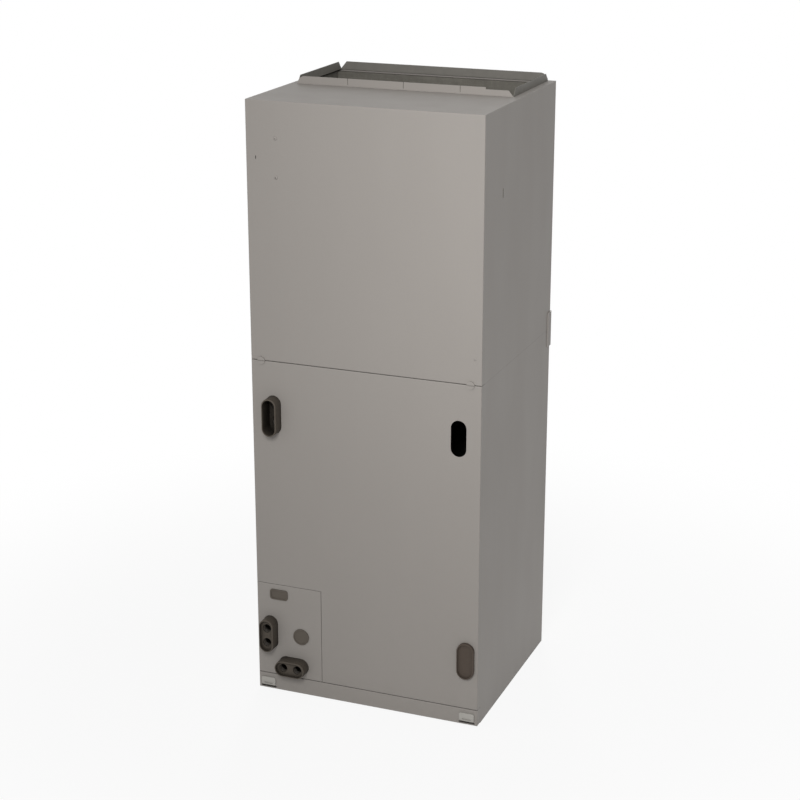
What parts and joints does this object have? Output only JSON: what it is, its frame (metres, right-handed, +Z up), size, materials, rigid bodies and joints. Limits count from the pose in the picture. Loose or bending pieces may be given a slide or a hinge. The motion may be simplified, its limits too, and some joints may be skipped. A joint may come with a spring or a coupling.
{
  "type": "air handling unit",
  "caption": "Upright air handler: blower box over coil box in folded painted sheet, flanged supply outlet on top, drain spouts and filter door in front.",
  "frame": {"origin": "on the floor, under the middle of the whole unit from the spout mouths to the rear brackets", "axes": "+X to the unit's right as seen from the front, +Y to the back, +Z up"},
  "size_m": [0.622, 0.585, 1.595],
  "materials": {
    "cabinet_paint": "satin warm grey powder coat",
    "galvanized_sheet": "zinc coated",
    "coil_fins": "finned",
    "clip_plastic": "pale grey",
    "taupe_plug": "matt brown grey",
    "black_plastic": "moulded black",
    "motor_shell": "black enamel",
    "wall_liner": "faced glass fibre",
    "filter_card": "card frame",
    "filter_sheet": "pleated fibre"
  },
  "bodies": {
    "root": {"upper_cabinet": "cabinet_paint", "lower_cabinet": "cabinet_paint", "top_panel": "cabinet_paint", "blower_access_panel": "cabinet_paint", "coil_access_panel": "cabinet_paint", "fitting_panel": "cabinet_paint", "filter_door": "cabinet_paint", "rear_bracket_left": "cabinet_paint", "rear_bracket_right": "cabinet_paint", "base_frame": "galvanized_sheet", "center_rail": "galvanized_sheet", "pan_rail_left": "galvanized_sheet", "pan_rail_right": "galvanized_sheet", "filter_rail_left": "galvanized_sheet", "filter_rail_right": "galvanized_sheet", "plenum_divider": "galvanized_sheet", "blower_deck": "galvanized_sheet", "blower_housing": "galvanized_sheet", "blower_wheel": "galvanized_sheet", "motor_bracket": "galvanized_sheet", "coil_front_plate": "galvanized_sheet", "coil_rear_plate": "galvanized_sheet", "coil_cap": "galvanized_sheet", "coil_slab_left": "coil_fins", "coil_slab_right": "coil_fins", "panel_latch_left": "cabinet_paint", "panel_latch_right": "cabinet_paint", "filter_door_clip_left": "clip_plastic", "filter_door_clip_right": "clip_plastic", "suction_line_plug": "taupe_plug", "liquid_line_plug": "taupe_plug", "right_drain_plug": "taupe_plug", "side_drain_pan": "black_plastic", "bottom_drain_pan": "black_plastic", "low_drain_spout": "black_plastic", "blower_motor": "motor_shell", "upper_insulation": "wall_liner", "lower_insulation": "wall_liner", "filter_frame": "filter_card", "filter_media": "filter_sheet"}
  },
  "joints": []
}
